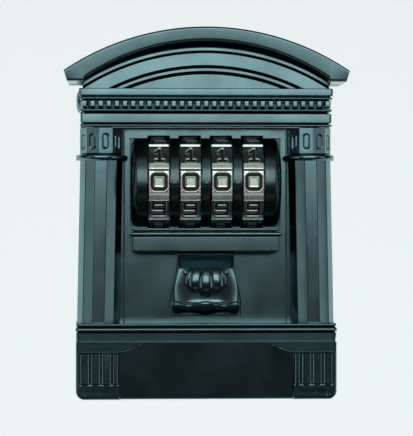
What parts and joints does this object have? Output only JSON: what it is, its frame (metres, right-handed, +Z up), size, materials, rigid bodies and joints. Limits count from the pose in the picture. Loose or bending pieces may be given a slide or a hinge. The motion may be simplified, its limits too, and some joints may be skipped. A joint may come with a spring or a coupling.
{
  "type": "key lock box",
  "caption": "Wall-mounted key lock box with a temple-front door, number dials, a push-in release bracket and a key compartment.",
  "frame": {"origin": "The middle of the four wall screws, on the wall's surface (the rear face of the wall pad).", "axes": "X to the right as seen from the front, +Y into the wall so that the front faces -Y, Z up."},
  "size_m": [0.0972, 0.056, 0.127],
  "materials": {
    "painted_casting": "satin black paint on a zinc casting",
    "black_housing": "smooth satin black",
    "chrome": "satin chrome with black-filled digits",
    "steel": "zinc-plated steel",
    "zinc_plate": "plain pressed plate",
    "spring_steel": "bright drawn wire and strip",
    "brass": "turned brass",
    "rubber": "matte black rubber"
  },
  "bodies": {
    "casing": {"rear_casing": "painted_casting", "wall_pad": "rubber", "rim_seal": "rubber", "hinge_pin": "steel", "hinge_caps": "painted_casting", "key_hook": "steel", "hook_screw": "steel"},
    "door": {"door_front": "painted_casting", "dial_housing": "black_housing", "housing_screws": "steel", "mechanism_cover": "zinc_plate", "cover_screws": "steel", "detent_spring": "spring_steel", "detent_screws": "steel", "button_springs": "spring_steel", "lock_bar_springs": "spring_steel"},
    "dial_1": {"dial_wheel_1": "chrome"},
    "dial_2": {"dial_wheel_2": "chrome"},
    "dial_3": {"dial_wheel_3": "chrome"},
    "dial_4": {"dial_wheel_4": "chrome"},
    "sleeve_1": {"gate_sleeve_1": "brass"},
    "sleeve_2": {"gate_sleeve_2": "brass"},
    "sleeve_3": {"gate_sleeve_3": "brass"},
    "sleeve_4": {"gate_sleeve_4": "brass"},
    "code_slide": {"dial_shaft": "steel", "sleeve_clips": "spring_steel", "change_tab": "steel"},
    "button": {"release_button": "painted_casting"},
    "lock_bar": {"lock_bar": "steel"}
  },
  "joints": [
    {"name": "door_swing", "type": "hinge", "parent": "casing", "child": "door", "pos_m": [0, -0.0278, 0.053], "axis": [-1, 0, 0], "range_deg": [0, 90]},
    {"name": "dial_1_spin", "type": "hinge", "parent": "door", "child": "dial_1", "pos_m": [-0.0162, -0.035, 0.0243], "axis": [1, 0, 0], "continuous": true},
    {"name": "sleeve_1_shift", "type": "slide", "parent": "dial_1", "child": "sleeve_1", "axis": [1, 0, 0], "range_m": [0, 0.0018]},
    {"name": "dial_2_spin", "type": "hinge", "parent": "door", "child": "dial_2", "pos_m": [-0.0054, -0.035, 0.0243], "axis": [1, 0, 0], "continuous": true},
    {"name": "sleeve_2_shift", "type": "slide", "parent": "dial_2", "child": "sleeve_2", "axis": [1, 0, 0], "range_m": [0, 0.0018]},
    {"name": "dial_3_spin", "type": "hinge", "parent": "door", "child": "dial_3", "pos_m": [0.0054, -0.035, 0.0243], "axis": [1, 0, 0], "continuous": true},
    {"name": "sleeve_3_shift", "type": "slide", "parent": "dial_3", "child": "sleeve_3", "axis": [1, 0, 0], "range_m": [0, 0.0018]},
    {"name": "dial_4_spin", "type": "hinge", "parent": "door", "child": "dial_4", "pos_m": [0.0162, -0.035, 0.0243], "axis": [1, 0, 0], "continuous": true},
    {"name": "sleeve_4_shift", "type": "slide", "parent": "dial_4", "child": "sleeve_4", "axis": [1, 0, 0], "range_m": [0, 0.0018]},
    {"name": "code_slide_shift", "type": "slide", "parent": "door", "child": "code_slide", "axis": [1, 0, 0], "range_m": [0, 0.0018]},
    {"name": "button_push", "type": "slide", "parent": "door", "child": "button", "axis": [0, 1, 0], "range_m": [0, 0.003], "stiffness_N_per_m": 800, "springref_m": -0.002, "deforming": ["button_springs"]},
    {"name": "lock_bar_lift", "type": "slide", "parent": "door", "child": "lock_bar", "axis": [0, 0, 1], "range_m": [0, 0.003], "deforming": ["lock_bar_springs"]}
  ],
  "couplings": [
    {"joint": "sleeve_1_shift", "follows": "code_slide_shift", "ratio": 1},
    {"joint": "sleeve_2_shift", "follows": "code_slide_shift", "ratio": 1},
    {"joint": "sleeve_3_shift", "follows": "code_slide_shift", "ratio": 1},
    {"joint": "sleeve_4_shift", "follows": "code_slide_shift", "ratio": 1},
    {"joint": "lock_bar_lift", "follows": "button_push", "ratio": 1}
  ]
}
